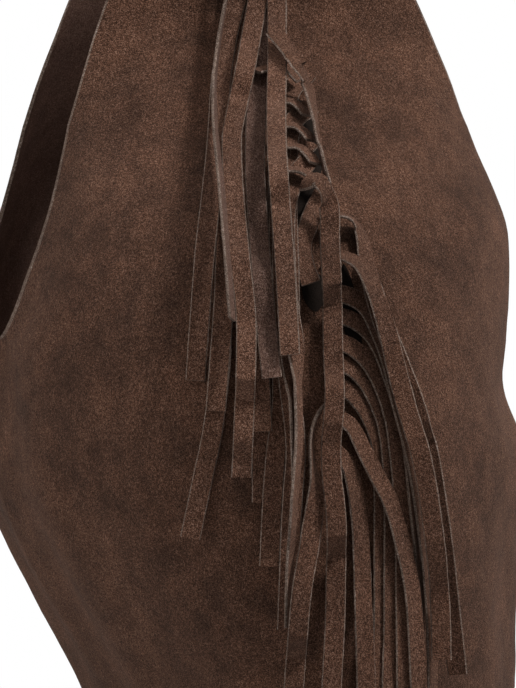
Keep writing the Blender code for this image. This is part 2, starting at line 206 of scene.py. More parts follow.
@dataclass(frozen=True)
class SuedeFinish:
    """Brushed suede: a speckled nap, brushed patches and a soft bloom at glancing angles."""

    name: str
    color: tuple
    speckle: float = 1.0
    patch_contrast: float = 0.30
    bloom: float = 0.22
    bloom_tint: tuple = (0.55, 0.34, 0.26, 1.0)
    bloom_spread: float = 0.45
    roughness: float = 0.95
    specular: float = 0.10
    nap_height: float = 0.00090
    nap_strength: float = 0.6
    fine: Layer = Layer(2500.0, 1.0, 0.60, 0.12)
    fleck: Layer = Layer(1050.0, 2.0, 0.65, 0.17)
    patch: Layer = Layer(95.0, 4.0, 0.68, 0.16)
    cloud: Layer = Layer(24.0, 2.0, 0.50, 0.20)
    fine_share: float = 0.62
    tones: tuple = (
        (0.08, (0.22, 0.22, 0.22)), (0.38, (0.66, 0.66, 0.66)), (0.58, (1.12, 1.12, 1.12)),
        (0.80, (1.80, 2.10, 2.40)), (1.00, (2.90, 3.70, 4.60)),
    )
    glow_tint: tuple = (1.0, 0.985, 0.97)

    def build(self) -> bpy.types.Material:
        """Make the material.

        Returns:
            The material.
        """
        graph = Graph(self.name)
        patch = graph.grain(self.patch)
        speck = graph.grain(self.fine) * self.fine_share + graph.grain(self.fleck) * (1.0 - self.fine_share)
        grain = 0.5 + (speck - 0.5) * self.speckle
        ramp = tuple((place, (*(base * share for base, share in zip(self.color, shares)), 1.0))
                     for place, shares in self.tones)
        tone = graph.node("ShaderNodeValToRGB", {"ramp": ramp}, {"Fac": grain}, "Color")
        shade = (*(1.0 - self.patch_contrast for _ in self.glow_tint), 1.0)
        glow = (*((1.0 + self.patch_contrast) * tint for tint in self.glow_tint), 1.0)
        veil = graph.mix(patch * 0.5 + graph.grain(self.cloud) * 0.5, shade, glow)
        values = {"Height": grain * 0.9 + patch * 0.8, "Strength": self.nap_strength, "Distance": self.nap_height}
        graph.surface(graph.node("ShaderNodeBsdfPrincipled", {}, {
            "Base Color": graph.mix(1.0, tone, veil, "MULTIPLY"), "Roughness": self.roughness,
            "Specular IOR Level": self.specular, "Normal": graph.node("ShaderNodeBump", {}, values, "Normal"),
            "Sheen Weight": self.bloom, "Sheen Roughness": self.bloom_spread, "Sheen Tint": self.bloom_tint,
        }, "BSDF"))
        return graph.material


class Finishes:
    """Every finish of the bag, made once."""

    def __init__(self) -> None:
        """Build the materials."""
        self.hide = SuedeFinish("hide_nap", (0.0715, 0.0325, 0.0190), patch_contrast=0.54).build()
        # the reverse side's colour is lightened well past its own tone, as painted light on the shaded inside of the
        # bag
        self.flesh = SuedeFinish("hide_flesh", (0.230, 0.132, 0.100), speckle=0.5, bloom=0.10).build()
        self.edge = SuedeFinish("raw_edge", (0.150, 0.104, 0.080), speckle=0.7).build()
        patch = Layer(190.0, 4.0, 0.68, 0.16)
        # lace_nap_lightened and braid_nap_shaded are two copies of one lace suede: lace_nap_lightened is lighter,
        # partly the strips' own redder tone and partly painted light for the shaded fringe strips; braid_nap_shaded
        # is darker, painted shade standing in for the braid's self-shadow
        self.lace = SuedeFinish("lace_nap_lightened", (0.098, 0.046, 0.028), patch_contrast=0.34, patch=patch).build()
        self.braid = SuedeFinish("braid_nap_shaded", (0.080, 0.037, 0.0222), patch_contrast=0.38, patch=patch).build()
        self.lace_flesh = SuedeFinish(
            "lace_flesh", (0.092, 0.050, 0.036), speckle=0.85, patch_contrast=0.26, patch=patch).build()
        self.base = SuedeFinish("base_nap", (0.050, 0.028, 0.020)).build()
        # slit_shade is the near-black colour of the painted shade laid over the braid's cuts and gaps
        self.dark = SuedeFinish("slit_shade", (0.012, 0.008, 0.006), speckle=0.3, bloom=0.0).build()


# Shape of the bag


@dataclass(frozen=True)
class Level:
    """Outline sizes at a height: half the length, and how far the front and back panel stand off the middle."""

    height: float
    seam: float
    front: float
    back: float


@dataclass(frozen=True)
class Fold:
    """A soft fold of the hide, as a rise or a dent with a lean."""

    side: Side
    end: End
    height: float
    reach: float
    across: float
    spread: float
    lean: float
    rise: float


def smooth_profile(stations: tuple, height: float) -> float:
    """Value at a height of a smooth curve that never swings past its stations.

    Args:
        stations: (height, value) pairs from the bottom up.
        height: where to read.

    Returns:
        The value.
    """
    heights = [station[0] for station in stations]
    values = [station[1] for station in stations]
    height = min(max(height, heights[0]), heights[-1])
    slopes = [(values[i + 1] - values[i]) / (heights[i + 1] - heights[i]) for i in range(len(values) - 1)]
    tangents = [slopes[0]]
    for before, after in zip(slopes, slopes[1:]):
        tangents.append(0.0 if before * after <= 0.0 else 2.0 * before * after / (before + after))
    tangents.append(slopes[-1])
    i = max(k for k in range(len(slopes)) if heights[k] <= height)
    span = heights[i + 1] - heights[i]
    s = (height - heights[i]) / span
    start = (2 * s ** 3 - 3 * s ** 2 + 1) * values[i] + (s ** 3 - 2 * s ** 2 + s) * span * tangents[i]
    end = (3 * s ** 2 - 2 * s ** 3) * values[i + 1] + (s ** 3 - s ** 2) * span * tangents[i + 1]
    return start + end


@dataclass(frozen=True)
class BagShape:
    """The outer face of the hide, as the solids have it."""

    base_level: Level = Level(0.0, 0.118, 0.042, 0.088)
    flank: Level = Level(0.025, 0.135, 0.055, 0.108)
    belly: Level = Level(0.115, 0.147, 0.100, 0.108)
    mouth: Level = Level(0.164, 0.139, 0.104, 0.105)
    shoulder: Level = Level(0.206, 0.121, 0.094, 0.1025)
    slope: Level = Level(0.252, 0.075, 0.079, 0.084)
    neck: Level = Level(0.300, 0.040, 0.062, 0.065)
    arm: Level = Level(0.350, 0.036, 0.038, 0.038)
    arm_top: Level = Level(0.390, 0.036, 0.027, 0.027)
    mouth_half: float = 0.039
    mouth_round: float = 0.060
    neck_half: float = 0.030
    shoulder_pinch: float = 0.022
    slope_pinch: float = 0.035
    section_round: float = 0.5523
    slope_curl: float = 0.72
    neck_curl: float = 0.5
    edge_slack: float = 0.0003
    edge_steps: int = 30
    seat_steps: int = 18
    level_digits: int = 4
    probe: float = 0.002
    fold_span: float = 0.200
    drawing_turn: float = math.radians(75.0)
    drawing_zero: float = 0.0412
    folds: tuple = (
        Fold(Side.BACK, End.FRINGED, 0.146, 0.016, 0.80, 0.30, 0.10, -0.0045),
        Fold(Side.BACK, End.FRINGED, 0.118, 0.018, 0.82, 0.28, 0.10, 0.0025),
        Fold(Side.FRONT, End.FRINGED, 0.155, 0.040, 0.95, 0.10, 0.00, -0.0040),
        Fold(Side.FRONT, End.FRINGED, 0.080, 0.055, 0.78, 0.07, 0.20, 0.0025),
        Fold(Side.FRONT, End.FRINGED, 0.070, 0.055, 0.92, 0.07, 0.20, -0.0030),
        Fold(Side.FRONT, End.FRINGED, 0.212, 0.030, 0.45, 0.16, 0.60, -0.0020),
        Fold(Side.FRONT, End.PLAIN, 0.140, 0.020, 0.70, 0.30, -0.15, -0.0035),
        Fold(Side.FRONT, End.PLAIN, 0.070, 0.055, 0.85, 0.08, 0.20, -0.0030),
        Fold(Side.BACK, End.PLAIN, 0.155, 0.018, 0.75, 0.30, 0.12, -0.0035),
        Fold(Side.BACK, End.PLAIN, 0.070, 0.050, 0.60, 0.10, 0.25, -0.0030),
        Fold(Side.BACK, End.FRINGED, 0.055, 0.050, 0.62, 0.09, -0.20, -0.0025),
    )

    @property
    def levels(self) -> tuple:
        """All levels from the base up."""
        return (self.base_level, self.flank, self.belly, self.mouth, self.shoulder, self.slope, self.neck,
                self.arm, self.arm_top)

    def mouth_edge(self, height: float) -> float:
        """Distance from the middle plane to the mouth's raw edge.

        Args:
            height: the level.

        Returns:
            The distance, 0 below the mouth.
        """
        if height <= self.mouth.height:
            return 0.0
        stations = (
            (self.mouth.height, self.mouth_half), (self.shoulder.height, self.mouth_half),
            (self.neck.height, self.neck_half), (self.arm.height, self.arm.seam),
            (self.arm_top.height, self.arm.seam),
        )
        rise = min((height - self.mouth.height) / self.mouth_round, 1.0)
        return smooth_profile(stations, height) * math.sqrt(1.0 - (1.0 - rise) ** 2)

    @functools.lru_cache(maxsize=None)
    def outline(self, side: int, level: float) -> tuple:
        """A quarter of the outline at a level.

        Args:
            side: -1 for the front, 1 for the back.
            level: the height.

        Returns:
            The four handles of its curve from the end seam, and how far the hide reaches along it.
        """
        seam = self._size("seam", level)
        depth = self._size("back" if side > 0 else "front", level)
        pinch = smooth_profile((
            (0.0, 0.0), (self.mouth.height, 0.0), (self.shoulder.height, self.shoulder_pinch),
            (self.slope.height, self.slope_pinch), (self.neck.height, self.neck_half),
            (self.arm.height, self.arm.seam), (self.arm_top.height, self.arm.seam)), level)
        curl = smooth_profile((
            (0.0, 1.0), (self.mouth.height, 1.0), (self.slope.height, self.slope_curl),
            (self.neck.height, self.neck_curl), (self.arm.height, 0.0), (self.arm_top.height, 0.0)), level)
        handles = (
            (seam, 0.0),
            (seam, depth * self.section_round),
            (pinch + (seam - pinch) * self.section_round, depth * (1.0 - self.section_round * (1.0 - curl))),
            (pinch, depth),
        )
        edge = self.mouth_edge(level)
        if edge <= pinch + self.edge_slack:
            return handles, 1.0
        low, high = 0.0, 1.0
        for _ in range(self.edge_steps):
            middle = (low + high) / 2
            if self._along(handles, middle)[0] > edge:
                low = middle
            else:
                high = middle
        return handles, middle

    def _size(self, name: str, height: float) -> float:
        """The outline's size of a name at a height."""
        return smooth_profile(tuple((level.height, getattr(level, name)) for level in self.levels), height)

    @staticmethod
    def _along(handles: tuple, s: float) -> tuple:
        """Point of a cubic curve.

        Args:
            handles: its four handles.
            s: place from 0 to 1.

        Returns:
            x and y.
        """
        a, b, c, d = (1 - s) ** 3, 3 * s * (1 - s) ** 2, 3 * s * s * (1 - s), s ** 3
        (x0, y0), (x1, y1), (x2, y2), (x3, y3) = handles
        return a * x0 + b * x1 + c * x2 + d * x3, a * y0 + b * y1 + c * y2 + d * y3

    def fold_depth(self, side: int, end: int, across: float, height: float) -> float:
        """How far the soft folds push the hide out.

        Args:
            side: -1 for the front, 1 for the back.
            end: 1 for the fringed end.
            across: 0 at the seam to 1 at the panel's middle.
            height: the level.

        Returns:
            The push in metres.
        """
        depth = 0.0
        for fold in self.folds:
            if fold.side.value != side or fold.end.value != end:
                continue
            middle = fold.height + fold.lean * (across - fold.across) * self.fold_span
            near = ((height - middle) / fold.reach) ** 2 + ((across - fold.across) / fold.spread) ** 2
            depth += fold.rise * math.exp(-near)
        return depth

    def hide_point(self, side: int, end: int, across: float, height: float, level: float | None = None) -> tuple:
        """Point of the outer face and its outward direction in plan.

        Args:
            side: -1 for the front, 1 for the back.
            end: 1 for the fringed end.
            across: 0 at the end seam to 1 at the mouth's edge or the panel's middle.
            height: the point's height.
            level: the level whose outline is used, where that isn't the height.

        Returns:
            The place and the outward direction.
        """
        level = height if level is None else level
        handles, reach = self.outline(side, level)
        s = across * reach
        a, b, c = 3 * (1 - s) ** 2, 6 * s * (1 - s), 3 * s * s
        (x0, y0), (x1, y1), (x2, y2), (x3, y3) = handles
        run_x = a * (x1 - x0) + b * (x2 - x1) + c * (x3 - x2)
        run_y = a * (y1 - y0) + b * (y2 - y1) + c * (y3 - y2)
        size = math.hypot(run_x, run_y)
        out_x, out_y = run_y / size, -run_x / size
        x, y = self._along(handles, s)
        push = self.fold_depth(side, end, across, level)
        place = Vector(((x + out_x * push) * end, (y + out_y * push) * side, height))
        return place, Vector((out_x * end, out_y * side, 0.0))

    def drawn_across(self, place: Vector) -> float:
        """Metres across from the laces' zero line at which a point shows on the drawing plane."""
        return place.x * math.cos(self.drawing_turn) + place.y * math.sin(self.drawing_turn) - self.drawing_zero

    def on_bag(self, across: float, down: float) -> tuple:
        """Point of the hanging surface that shows at a drawn place.

        Laces hang straight down from the belly, where the hide itself turns in to the base.

        Args:
            across: metres from the end seam's outermost line on the drawing plane.
            down: metres below the neck.

        Returns:
            The place on the surface and its outward direction.
        """
        height = self.neck.height - down
        level = round(max(height, self.belly.height), self.level_digits)
        low, high = -1.0, 1.0
        for _ in range(self.seat_steps):
            middle = (low + high) / 2
            side = 1 if middle >= 0 else -1
            place, out = self.hide_point(side, 1, abs(middle), height, level)
            if self.drawn_across(place) < across:
                low = middle
            else:
                high = middle
        upper = round(level + self.probe, self.level_digits) if height >= self.belly.height else level
        above, _ = self.hide_point(side, 1, abs(middle), height + self.probe, upper)
        normal = Vector((-out.y, out.x, 0.0)).cross(above - place).normalized()
        return place, normal if normal.dot(place) > 0 else -normal


SHAPE = BagShape()


def add_mesh(name: str, vertices: list, faces: list, slots: list, materials: list) -> bpy.types.Object:
    """Add a smooth mesh piece.

    Args:
        name: the piece's name.
        vertices: its points.
        faces: its faces.
        slots: material number of each face.
        materials: its materials.

    Returns:
        The object.
    """
    mesh = bpy.data.meshes.new(name)
    mesh.from_pydata([tuple(vertex) for vertex in vertices], [], faces)
    for material in materials:
        mesh.materials.append(material)
    mesh.polygons.foreach_set("material_index", slots)
    mesh.shade_smooth()
    mesh.set_sharp_from_angle(angle=SHARP_ANGLE)
    mesh.update()
    piece = bpy.data.objects.new(name, mesh)
    bpy.context.scene.collection.objects.link(piece)
    return piece


def tube_faces(size: int, rings: int) -> list:
    """Faces between closed rings of so many points, ring by ring."""
    return [(low + k, low + (k + 1) % size, low + size + (k + 1) % size, low + size + k)
            for low in range(0, (rings - 1) * size, size) for k in range(size)]


@dataclass
class HidePanel:
    """One big piece of hide: body from seam to seam, and an arm beside the mouth at each end."""

    finishes: Finishes
    side: Side
    node: str
    thickness: float = 0.0014
    seam_gap: float = 0.0006
    foot: float = 0.0003
    across_steps: int = 62
    body_step: float = 0.0032
    mouth_rows: int = 26
    relief: tuple = ((22.0, 0.0011), (55.0, 0.0005), (180.0, 0.00012))
    calm_foot: float = 0.02
    calm_top: float = 0.04
    rim_faces: set = field(default_factory=set)
    outer: list = field(default_factory=list)
    outer_faces: list = field(default_factory=list)

    def _heights(self) -> tuple:
        """Row heights.

        Returns:
            Heights of the body's rows, and of the arms' rows above them.
        """
        mouth = SHAPE.mouth.height
        rows = round(mouth / self.body_step)
        body = [self.foot] + [mouth * row / rows for row in range(1, rows + 1)]
        near = [mouth + SHAPE.mouth_round * (row / self.mouth_rows) ** 2 for row in range(1, self.mouth_rows + 1)]
        rows = round((SHAPE.arm_top.height - near[-1]) / self.body_step)
        far = [near[-1] + (SHAPE.arm_top.height - near[-1]) * row / rows for row in range(1, rows + 1)]
        return body, near + far

    def _place(self, end: int, across: float, height: float) -> Vector:
        """Point of the outer face with the hide's small unevenness.

        Args:
            end: 1 for the fringed end.
            across: 0 at the seam to 1 at the edge or middle.
            height: the level.

        Returns:
            The point.
        """
        place, out = SHAPE.hide_point(self.side.value, end, across, height)
        calm = min(1.0, height / self.calm_foot) * min(1.0, (SHAPE.arm_top.height - height) / self.calm_top)
        place = place + out * sum(noise.noise(place * pace) * size for pace, size in self.relief) * calm
        place.y += self.side.value * self.seam_gap / 2
        return place

    def build(self) -> None:
        """Make the panel."""
        steps = self.across_steps
        body, arms = self._heights()
        points: list = []
        faces: list = []

        def add_row(end: int, height: float, places: list) -> list:
            """Add a row of points.

            Args:
                end: 1 for the fringed end.
                height: the row's height.
                places: the steps across.

            Returns:
                The points' numbers.
            """
            start = len(points)
            points.extend(self._place(end, step / steps, height) for step in places)
            return list(range(start, len(points)))

        def join(lower: list, upper: list) -> None:
            """Join a lower and an upper row with faces that look outward."""
            for a, b, c, d in zip(lower, lower[1:], upper[1:], upper):
                faces.append((a, b, c, d) if self.side is Side.BACK else (d, c, b, a))

        near = list(range(steps + 1))
        rows = [add_row(1, height, near) + add_row(-1, height, near[-2::-1]) for height in body]
        for lower, upper in zip(rows, rows[1:]):
            join(lower, upper)
        for end, lower in ((1, rows[-1][:steps + 1]), (-1, rows[-1][steps:])):
            for height in arms:
                upper = add_row(end, height, near if end > 0 else near[::-1])
                join(lower, upper)
                self.rim_faces.add(len(faces) - 1 if end > 0 else len(faces) - steps)
                lower = upper
        self.outer = points
        self.outer_faces = faces
        self._thicken()

    def _thicken(self) -> None:
        """Give the outer face its thickness."""
        normals = [Vector((0.0, 0.0, 0.0)) for _ in self.outer]
        edges: dict = {}
        for face in self.outer_faces:
            a, b, c, d = (self.outer[index] for index in face)
            normal = (c - a).cross(d - b)
            for index in face:
                normals[index] += normal
            for start, stop in zip(face, face[1:] + face[:1]):
                edges[(start, stop)] = True
        rims = [edge for edge in edges if (edge[1], edge[0]) not in edges]
        inner = [place - normal.normalized() * self.thickness for place, normal in zip(self.outer, normals)]
        count = len(self.outer)
        faces = list(self.outer_faces)
        slots = [EDGE if index in self.rim_faces else OUTER for index in range(len(faces))]
        faces += [tuple(count + index for index in reversed(face)) for face in self.outer_faces]
        slots += [INNER] * len(self.outer_faces)
        faces += [(stop, start, count + start, count + stop) for start, stop in rims]
        slots += [EDGE] * len(rims)
        name = "hide_" + self.side.name.lower()
        # the inner faces take the flesh finish, whose lightened colour is painted light
        skins = [self.finishes.hide, self.finishes.flesh, self.finishes.edge]
        piece = add_mesh(name, self.outer + inner, faces, slots, skins)
        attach(piece, "root")
        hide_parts(self.node)
        log.info("panel %s: %d faces", name, len(faces))


class Wave(Enum):
    """A lace's small unevenness, as waves per metre and a place in the noise."""

    ROLL = (16.0, 3.0)
    LIFT = (28.0, 0.0)
    SWAY = (35.0, 5.0)
    FRAY = (400.0, 9.0)
    CUP = (20.0, 2.0)


@dataclass(frozen=True)
class Lace:
    """One flat strip.

    Its drawn points are millimetres across and down. face is how far it turns from the hide towards the
    drawing plane, twist holds (share of its length, degrees) stations, and a positive twist lifts the edge
    that is left on a hanging strip. rise holds (share, millimetres) that it stands off beyond its support.
    """

    node: str
    points: tuple
    face: float = 0.88
    twist: tuple = ((0.0, 0.0), (1.0, 0.0))
    rise: tuple = ((0.0, 0.0), (1.0, 0.0))
    show: Show = Show.NAP
    width: float = 0.0080
    drawn_only: bool = False


LINK = {"face": 0.3, "twist": ((0, 46), (1, 40)), "width": 0.0072, "drawn_only": True}
LOOP = {"face": 0.5, "twist": ((0, 24), (0.12, 20), (0.35, 12), (1, 8))}

LACES = (
    Lace("fringe_upper_01", ((-31, -12), (-36, 10), (-42, 60), (-46, 110), (-50, 164), (-55, 190), (-60, 214))),
    Lace("fringe_upper_02", ((-29, -8), (-31, 14), (-33, 60), (-34, 110), (-33, 160), (-32, 176), (-32, 200))),
    Lace("fringe_upper_03", ((-14, 30), (-22, 40), (-25, 64), (-25, 120), (-24, 160), (-27, 184), (-29, 225))),
    Lace("fringe_upper_04", ((-13, 58), (-21, 66), (-24, 80), (-24, 120), (-22, 150), (-19, 178), (-20, 200),
                            (-22, 250))),
    Lace("fringe_short_01", ((-8, 78), (-12.5, 88), (-16, 98), (-15.5, 106), (-12.8, 114)),
         twist=((0, -20), (0.5, 24), (1, 4)), rise=((0, 1), (1, 1.5))),
    Lace("fringe_upper_05", ((-32, -18), (-37, -2), (-43, 24), (-45, 60), (-47, 120), (-50, 164))),
    Lace("fringe_upper_06", ((-29, -24), (-32, 0), (-36, 24), (-37, 60), (-34, 120), (-32, 172))),
    Lace("fringe_upper_07", ((-13, 44), (-20, 52), (-22, 72), (-21, 130), (-20, 170), (-19, 206)),
         twist=((0, 0), (0.6, 0), (0.72, 76), (1, 80))),
    Lace("fringe_upper_08", ((-33, -28), (-41, -4), (-48, 30), (-50, 60), (-55, 110), (-58, 152))),
    Lace("fringe_upper_09", ((-27, -14), (-29, 4), (-32, 24), (-35, 60), (-32, 110), (-28, 151)),
         show=Show.FLESH),
    Lace("fringe_upper_10",
         ((-14, 66), (-20, 74), (-23, 90), (-22, 120), (-19, 142), (-18, 172), (-20, 200), (-22, 249)),
         twist=((0, 0), (0.36, 0), (0.48, 70), (1, 76))),
    Lace("link_05", ((-27, 70.6), (-22, 69.4), (-17, 69.6), (-12.5, 72), (-9, 76)), **LINK),
    Lace("link_04", ((-27.5, 61.6), (-23, 60.4), (-18, 60.4), (-14, 63), (-11, 67)), **LINK),
    Lace("link_03", ((-28, 53.4), (-23.5, 52.2), (-19, 52.4), (-15.5, 54.6), (-12.6, 58)), **LINK),
    Lace("link_02", ((-28.5, 43.6), (-24.5, 42.4), (-20.5, 42.6), (-17.4, 44.8), (-14.6, 48)), **LINK),
    Lace("link_01", ((-34, 30.4), (-29, 28.8), (-24, 28.8), (-20.6, 31), (-17.8, 34)), **LINK),
    Lace("fringe_upper_11",
         ((-30, -36), (-33, -6), (-37, 20), (-42, 45), (-44, 62), (-41, 100), (-38, 135), (-40, 190))),
    Lace("fringe_upper_12", ((-27, -30), (-26, 0), (-26, 24), (-26, 60), (-23, 105), (-21, 142)),
         twist=((0, -14), (1, -8))),
    Lace("fringe_upper_13", ((-34, -40), (-44, -10), (-50, 24), (-51, 46), (-48, 80), (-44, 128)),
         twist=((0, 60), (0.2, 84), (0.5, 77), (1, 76)), show=Show.FLESH),
    Lace("braid_arc_01",
         ((-27, 15), (-22.5, 21), (-17.2, 29), (-13.8, 38), (-11.4, 50), (-9.2, 61), (-6.6, 74), (-6.4, 77)),
         twist=((0, 24), (0.25, 46), (0.5, 66), (0.68, 92), (1, 104)),
         rise=((0, 0), (0.3, 2.5), (0.6, 4), (1, 2))),
    Lace("braid_loop_07",
         ((-6, 154), (-0.4, 155.2), (3.6, 158), (7.6, 162.8), (10.8, 168.4), (13.6, 176), (15, 188), (15, 240),
          (14, 287)), **LOOP),
    Lace("braid_loop_06",
         ((-6, 145), (-0.4, 146), (4, 148.4), (8.4, 152.8), (11.6, 158), (14.4, 164), (16.8, 172), (18.6, 190),
          (19, 240), (18, 284)), **LOOP),
    Lace("braid_loop_05",
         ((-6, 136.4), (-0.4, 137.6), (4, 140), (8.4, 144), (12, 149.2), (15.2, 156), (18, 164), (20.4, 176),
          (23, 210), (24, 291)), **LOOP),
    Lace("braid_loop_04",
         ((-6, 126), (-0.4, 127.2), (4, 128.8), (8.8, 132.4), (13.2, 138), (16.4, 144.8), (19.2, 152.8),
          (21.8, 162), (24.6, 174), (27, 196), (29, 222), (31, 292)),
         face=0.5, twist=((0, 24), (0.2, 16), (0.4, 34), (0.6, 50), (1, 56))),
    Lace("braid_loop_03",
         ((-6, 117.4), (-0.4, 118.4), (3.2, 119.6), (7.2, 122), (10.4, 126), (13.2, 132), (16.2, 140), (19, 150),
          (22, 164), (27, 185), (31, 212), (34, 245), (34.6, 288)),
         face=0.5, twist=((0, 14), (0.15, 14), (0.4, 30), (1, 44))),
    Lace("braid_loop_01",
         ((-8, 87), (0, 87.6), (4.6, 91), (7.4, 98), (9.2, 108), (15, 128), (22, 146), (28, 162), (34, 184),
          (39, 216), (42.4, 248), (44.6, 268)),
         face=0.4, twist=((0, 50), (0.08, 44), (0.15, 18), (0.22, -12), (0.4, -34), (1, -42)),
         rise=((0, 0), (0.2, 0.5), (0.5, 2.2), (1, 2.8))),
    Lace("braid_loop_02",
         ((-6, 103), (1, 103.8), (6, 107), (10, 113.5), (13.6, 122), (16.8, 133), (19.6, 144), (24.4, 162),
          (30.4, 184), (35.6, 216), (37.6, 240), (38, 262)),
         face=0.5, twist=((0, 42), (0.08, 36), (0.2, 14), (0.4, -16), (1, -26)),
         rise=((0, 0), (0.3, 0.8), (0.6, 2.4), (1, 2.4))),
    Lace("braid_loop_09", ((-3, 180), (2, 186), (5, 202), (7, 225), (9, 289)),
         face=0.5, twist=((0, 30), (1, 6))),
    Lace("braid_loop_08",
         ((-3, 166), (3, 170), (8, 180), (13, 190), (18, 200), (22, 214), (27, 240), (30, 286)),
         face=0.5, twist=((0, 36), (0.3, 26), (1, 8)), rise=((0, 0), (0.25, 1.5), (1, 0))),
    Lace("braid_tail_01", ((-6, 160), (-10, 165), (-12.5, 173), (-12.5, 184), (-11, 195), (-13, 214), (-17, 240),
                           (-21, 290)),
         twist=((0, 86), (0.2, 80), (0.3, 34), (0.4, 6), (1, 0))),
    Lace("braid_front_01",
         ((-14.6, 77), (-13.2, 73.8), (-10.6, 73.2), (-8, 76), (-6.4, 80.5), (-5.6, 87), (-5.4, 98), (-4.6, 120),
          (-3.8, 155), (-5, 176), (-4.6, 190), (-3.4, 202), (-2.8, 216), (-3.4, 240), (-4.8, 275), (-5, 290)),
         twist=((0, 60), (0.025, 54), (0.045, 30), (0.065, 10), (0.1, 2), (1, 0)),
         rise=((0, -1), (0.02, 2.8), (0.06, 3.2), (0.12, 2.6), (0.2, 1.8), (0.5, 1.6), (1, 1))),
)


@dataclass
class Strip:
    """A lace that is being laid: its own place in the noise, and its drawn points, seats, turns and heights."""

    lace: Lace
    step: float
    offset: float
    drawn: list
    line: list = field(default_factory=list)
    angles: list = field(default_factory=list)
    lifts: list = field(default_factory=list)

    def along(self, stations: tuple, i: int) -> float:
        """Value at seat i of a curve given as (share of the length, value) pairs."""
        share = i / (len(self.drawn) - 1)
        return float(np.interp(share, [station[0] for station in stations], [station[1] for station in stations]))

    def wave(self, kind: Wave, i: int) -> float:
        """Small unevenness of a kind at seat i, from -1 to 1."""
        pace, place = kind.value
        return noise.noise(Vector((i * self.step * pace, self.offset, place)))


@dataclass
class Fringe:
    """The braid and the fringe, laid strip by strip on the hide and on each other."""

    finishes: Finishes
    thickness: float = 0.0012
    gap: float = 0.0003
    step: float = 0.0012
    settle: int = 5
    probe_reach: float = 0.0014
    probe_height: float = 0.02
    cup: float = 0.00035
    cup_mean: float = 0.6
    bevel: float = 0.0004
    sway: float = 0.00045
    lift_sway: float = 0.0009
    lift_bias: float = 0.35
    roll: float = 9.0
    least_facing: float = 0.05
    curve_steps: int = 24
    rounds: int = 2
    aim_rounds: int = 3
    aim_share: float = 0.75
    noise_step: float = 7.13
    shares: tuple = (-1.0, -0.6, -0.2, 0.2, 0.6, 1.0)
    spread: tuple = (-1.0, -0.7, -0.35, 0.0, 0.35, 0.7, 1.0)
    laid: list = field(default_factory=list)
    hide: BVHTree | None = None

    def _curve(self, points: tuple) -> list:
        """Even points along a smooth curve through a lace's drawn points.

        Args:
            points: the drawn points in millimetres.

        Returns:
            (across, down) pairs in metres.
        """
        knots = [Vector(point) * MM for point in points]
        padded = [knots[0] * 2 - knots[1]] + knots + [knots[-1] * 2 - knots[-2]]
        fine = []
        for i in range(1, len(padded) - 2):
            p0, p1, p2, p3 = padded[i - 1:i + 3]
            for k in range(self.curve_steps):
                s = k / self.curve_steps
                fine.append(0.5 * (2 * p1 + (p2 - p0) * s + (2 * p0 - 5 * p1 + 4 * p2 - p3) * s ** 2
                                   + (3 * p1 - p0 - 3 * p2 + p3) * s ** 3))
        fine.append(knots[-1])
        lengths = [0.0]
        for a, b in zip(fine, fine[1:]):
            lengths.append(lengths[-1] + (b - a).length)
        marks = np.linspace(0.0, lengths[-1], max(3, round(lengths[-1] / self.step)) + 1)
        across = np.interp(marks, lengths, [point.x for point in fine])
        down = np.interp(marks, lengths, [point.y for point in fine])
        return list(zip(across, down))

    def _seat(self, strip: Strip) -> None:
        """Find the seats' place, outward and width direction, such that the lifted lace shows where it is drawn.

        Args:
            strip: the lace.
        """
        seats = []
        for (across, down), lift in zip(strip.drawn, strip.lifts):
            aim_across, aim_down = across, down
            place, out = SHAPE.on_bag(across, down)
            for _ in range(self.aim_rounds if lift > 0.0 else 0):
                shown = place + out * lift
                aim_across += (across - SHAPE.drawn_across(shown)) * self.aim_share
                aim_down += (shown.z - (SHAPE.neck.height - down)) * self.aim_share
                place, out = SHAPE.on_bag(aim_across, aim_down)
            seats.append((place, out))
        strip.line = []
        for i, (place, out) in enumerate(seats):
            run = seats[min(i + 1, len(seats) - 1)][0] - seats[max(i - 1, 0)][0]
            strip.line.append((place, out, run.cross(out).normalized()))

    def _turn(self, strip: Strip) -> None:
        """Find the lace's turn about its own run at each seat, in radians.

        Args:
            strip: the lace.
        """
        lace = strip.lace
        view = Vector((math.sin(SHAPE.drawing_turn), -math.cos(SHAPE.drawing_turn), 0.0))
        strip.angles = []
        for i, (_, out, wide) in enumerate(strip.line):
            turn = math.atan2(-view.dot(wide), max(view.dot(out), self.least_facing))
            roll = strip.wave(Wave.ROLL, i) * self.roll
            strip.angles.append(turn * lace.face + math.radians(strip.along(lace.twist, i) + roll))

    def _support(self, strip: Strip, tree: kdtree.KDTree) -> list:
        """How high the lace's middle must lie at each seat to clear what is under it.

        Args:
            strip: the lace.
            tree: the tops of the laces laid before.

        Returns:
            The heights over the smooth hide.
        """
        tops = []
        half = strip.lace.width / 2
        for (place, out, wide), angle in zip(strip.line, strip.angles):
            top = 0.0
            for share in self.shares:
                spot = place + wide * half * math.cos(angle) * share
                own = share * half * math.sin(angle)
                hit, _, _, distance = self.hide.ray_cast(spot + out * self.probe_height, -out, self.probe_height * 2)
                top = max(top, -own if hit is None else self.probe_height - distance - own)
                if self.laid:
                    for _, index, _ in tree.find_range(spot, self.probe_reach):
                        top = max(top, self.laid[index][1] - own)
            tops.append(top)
        return tops

    def _settle(self, values: list) -> list:
        """Raise each value to the highest nearby and even them out.

        Args:
            values: the heights.

        Returns:
            The evened heights.
        """
        reach = self.settle
        count = len(values)
        highest = [max(values[max(i - reach, 0):i + reach + 1]) for i in range(count)]
        half = reach // 2 + 1
        return [float(np.mean(highest[max(i - half, 0):i + half + 1])) for i in range(count)]

    def _stand_off(self, strip: Strip, i: int) -> float:
        """How far a lace stands off what it rests on at seat i, in metres."""
        wave = max(strip.wave(Wave.LIFT, i) + self.lift_bias, 0.0)
        return self.gap + wave * self.lift_sway + strip.along(strip.lace.rise, i) * MM

